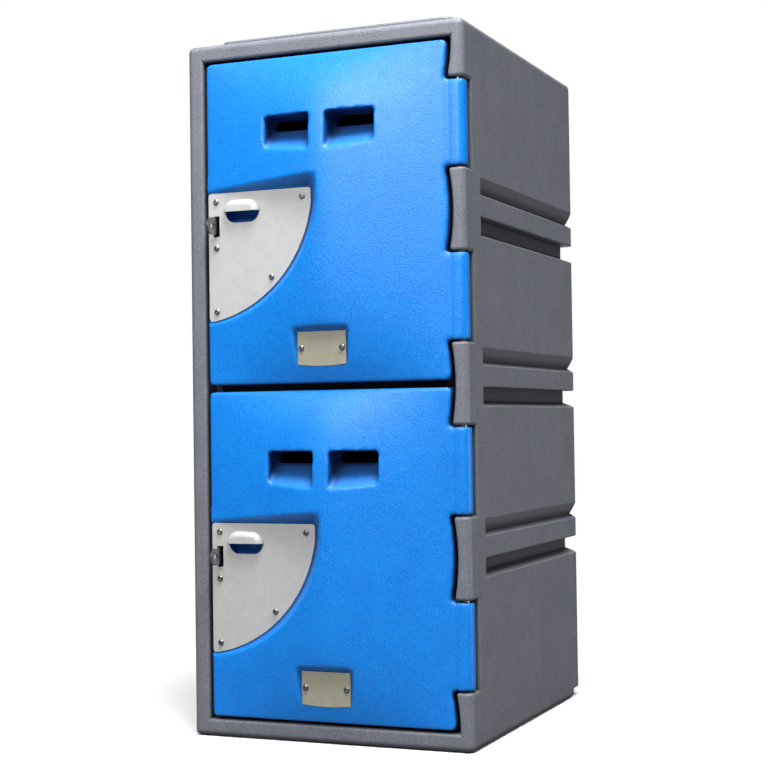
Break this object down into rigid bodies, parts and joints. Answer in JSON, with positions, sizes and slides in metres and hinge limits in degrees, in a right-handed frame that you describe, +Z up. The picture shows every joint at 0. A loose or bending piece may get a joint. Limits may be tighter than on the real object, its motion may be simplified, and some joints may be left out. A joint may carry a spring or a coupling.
{
  "type": "plastic storage locker",
  "caption": "Tall stackable moulded plastic locker with hinged compartment doors, padlock staples, finger-pull lock plates and vents, for cyclists' helmets and bags.",
  "frame": {"origin": "on the floor, at the middle of the overall box, which includes the two staples' tips", "axes": "+X to the right as seen from the front, +Y to the back, +Z up"},
  "size_m": [0.385, 0.489, 0.9125],
  "materials": {
    "body_plastic": "satin, finely grained moulding",
    "shelf_plastic": "satin, finely grained moulding",
    "rod_steel": "ground stainless steel",
    "plug_plastic": "moulded plug",
    "washer_plastic": "black acetal",
    "staple_steel": "brushed stainless steel",
    "bolt_steel": "stainless steel",
    "nut_steel": "stainless steel",
    "door_plastic": "satin, finely grained moulding",
    "plate_steel": "bead-blasted stainless steel",
    "screw_steel": "stainless steel",
    "insert_brass": "turned brass",
    "number_aluminium": "matt anodised aluminium"
  },
  "bodies": {
    "cabinet": {"carcass": "body_plastic", "divider_shelf": "shelf_plastic", "hinge_rod": "rod_steel", "hinge_rod_plug": "plug_plastic", "hinge_washers_lower": "washer_plastic", "hinge_washers_upper": "washer_plastic", "staple_lower": "staple_steel", "staple_upper": "staple_steel", "staple_bolts_lower": "bolt_steel", "staple_bolts_upper": "bolt_steel", "staple_nuts_lower": "nut_steel", "staple_nuts_upper": "nut_steel"},
    "lower_door": {"door_lower": "door_plastic", "lock_plate_lower": "plate_steel", "lock_plate_screws_lower": "screw_steel", "lock_plate_inserts_lower": "insert_brass", "number_plate_lower": "number_aluminium", "number_plate_screws_lower": "screw_steel", "number_plate_inserts_lower": "insert_brass"},
    "upper_door": {"door_upper": "door_plastic", "lock_plate_upper": "plate_steel", "lock_plate_screws_upper": "screw_steel", "lock_plate_inserts_upper": "insert_brass", "number_plate_upper": "number_aluminium", "number_plate_screws_upper": "screw_steel", "number_plate_inserts_upper": "insert_brass"}
  },
  "joints": [
    {"name": "lower_door_hinge", "type": "hinge", "parent": "cabinet", "child": "lower_door", "pos_m": [0.1825, -0.21, 0.2363], "axis": [0, 0, 1], "range_deg": [0, 170]},
    {"name": "upper_door_hinge", "type": "hinge", "parent": "cabinet", "child": "upper_door", "pos_m": [0.1825, -0.21, 0.6644], "axis": [0, 0, 1], "range_deg": [0, 170]}
  ]
}
